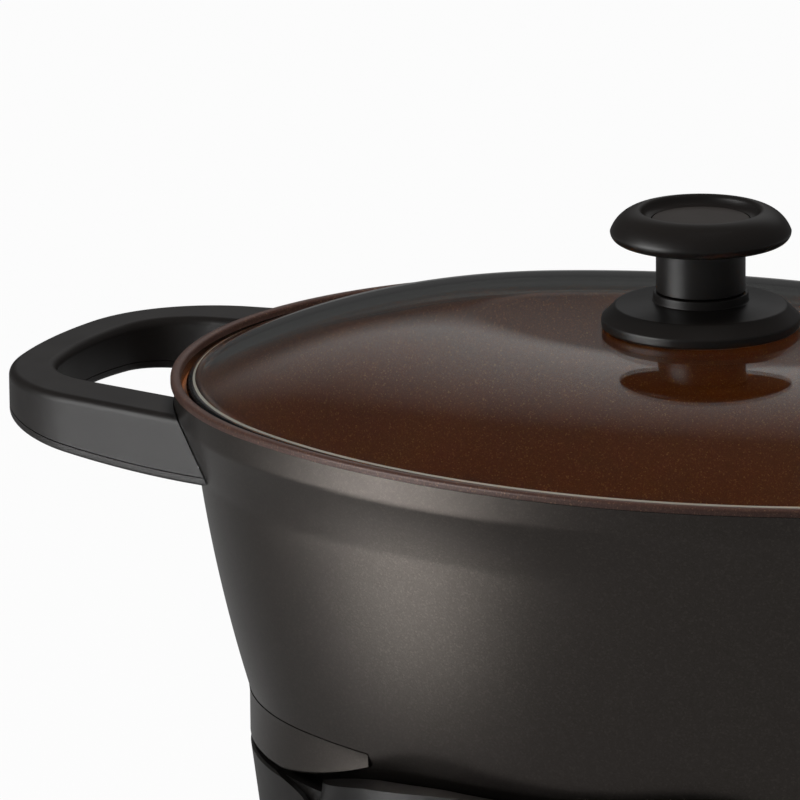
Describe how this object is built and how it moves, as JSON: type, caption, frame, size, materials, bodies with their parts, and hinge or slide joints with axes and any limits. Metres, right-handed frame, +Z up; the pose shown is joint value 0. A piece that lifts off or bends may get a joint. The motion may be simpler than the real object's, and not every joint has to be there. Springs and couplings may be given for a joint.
{
  "type": "multicooker",
  "caption": "Countertop multicooker: oval cast pot with loop handles and a domed glass lid on an electric base with a sloping control console.",
  "frame": {"origin": "on the table, under the middle of the pot", "axes": "+X along the handles, -Y towards the control console, +Z up"},
  "size_m": [0.4464, 0.2586, 0.249],
  "materials": {
    "pot_coating": "satin metallic lacquer outside, bronze flecked non-stick inside and on the rim",
    "handle_plastic": "fine textured black phenolic moulding",
    "knob_plastic": "fine textured black phenolic moulding",
    "clear_glass": "clear tempered glass",
    "steel": "plain stainless steel",
    "housing_plastic": "satin black moulding",
    "panel_plastic": "satin dark grey lacquer",
    "fascia_gloss": "gloss black",
    "window_smoke": "smoked clear window",
    "key_plastic": "satin grey moulding",
    "dial_metal": "turned and anodised",
    "cast_aluminium": "machined casting",
    "heater_steel": "oxidised tube",
    "zinc_sheet": "zinc coated sheet",
    "board_green": "solder mask",
    "component_black": "moulded",
    "component_blue": "sleeved",
    "terminal_grey": "moulded",
    "ceramic_white": "unglazed",
    "rubber_black": "matt"
  },
  "bodies": {
    "base": {"base_housing": "housing_plastic", "side_panel_left": "panel_plastic", "side_panel_right": "panel_plastic", "bottom_cover": "housing_plastic", "feet": "rubber_black", "cover_screws": "steel", "control_fascia": "fascia_gloss", "display_window": "window_smoke", "display_module": "component_black", "control_board": "board_green", "control_screws": "steel", "key_switches": "component_black", "dial_encoder": "steel", "heating_plate": "cast_aluminium", "heating_element": "heater_steel", "element_terminals": "ceramic_white", "heat_shield": "zinc_sheet", "plate_posts": "steel", "post_screws": "steel", "sensor_guide": "zinc_sheet", "sensor_spring": "steel", "thermal_fuse": "ceramic_white", "fuse_clip": "zinc_sheet", "power_board": "board_green", "board_screws": "steel", "transformer": "heater_steel", "power_relay": "component_blue", "smoothing_capacitor": "component_black", "terminal_block": "terminal_grey", "cord_gland": "rubber_black", "gland_nut": "component_black"},
    "pot": {"pot_body": "pot_coating", "handle_left": "handle_plastic", "handle_right": "handle_plastic", "handle_cover_left": "handle_plastic", "handle_cover_right": "handle_plastic", "handle_screws": "steel"},
    "lid": {"lid_glass": "clear_glass", "steam_vent": "steel", "knob_flange": "knob_plastic", "knob_column": "knob_plastic", "knob_cap": "knob_plastic", "knob_insert": "knob_plastic", "lid_washer": "steel", "lid_bolt": "steel"},
    "dial": {"selector_dial": "dial_metal", "encoder_shaft": "steel"},
    "sensor": {"sensor_cup": "cast_aluminium"},
    "key_menu_cap": {"key_menu": "key_plastic"},
    "key_start_cap": {"key_start": "key_plastic"},
    "key_timer_cap": {"key_timer": "key_plastic"},
    "key_warm_cap": {"key_warm": "key_plastic"}
  },
  "joints": [
    {"name": "pot_lift", "type": "slide", "parent": "base", "child": "pot", "axis": [0, 0, 1], "range_m": [0, 0.1]},
    {"name": "lid_lift", "type": "slide", "parent": "pot", "child": "lid", "axis": [0, 0, 1], "range_m": [0, 0.06]},
    {"name": "dial_turn", "type": "hinge", "parent": "base", "child": "dial", "pos_m": [0, -0.11711, 0.028], "axis": [0, -0.9969, 0.0784], "continuous": true},
    {"name": "sensor_press", "type": "slide", "parent": "base", "child": "sensor", "axis": [0, 0, -1], "range_m": [0, 0.002], "stiffness_N_per_m": 500, "springref_m": -0.004, "deforming": ["sensor_spring"]},
    {"name": "key_menu_press", "type": "slide", "parent": "base", "child": "key_menu_cap", "axis": [0, 0.9969, -0.0784], "range_m": [0, 0.0008], "stiffness_N_per_m": 400, "springref_m": -0.0015},
    {"name": "key_start_press", "type": "slide", "parent": "base", "child": "key_start_cap", "axis": [0, 0.9969, -0.0784], "range_m": [0, 0.0008], "stiffness_N_per_m": 400, "springref_m": -0.0015},
    {"name": "key_timer_press", "type": "slide", "parent": "base", "child": "key_timer_cap", "axis": [0, 0.9969, -0.0784], "range_m": [0, 0.0008], "stiffness_N_per_m": 400, "springref_m": -0.0015},
    {"name": "key_warm_press", "type": "slide", "parent": "base", "child": "key_warm_cap", "axis": [0, 0.9969, -0.0784], "range_m": [0, 0.0008], "stiffness_N_per_m": 400, "springref_m": -0.0015}
  ]
}
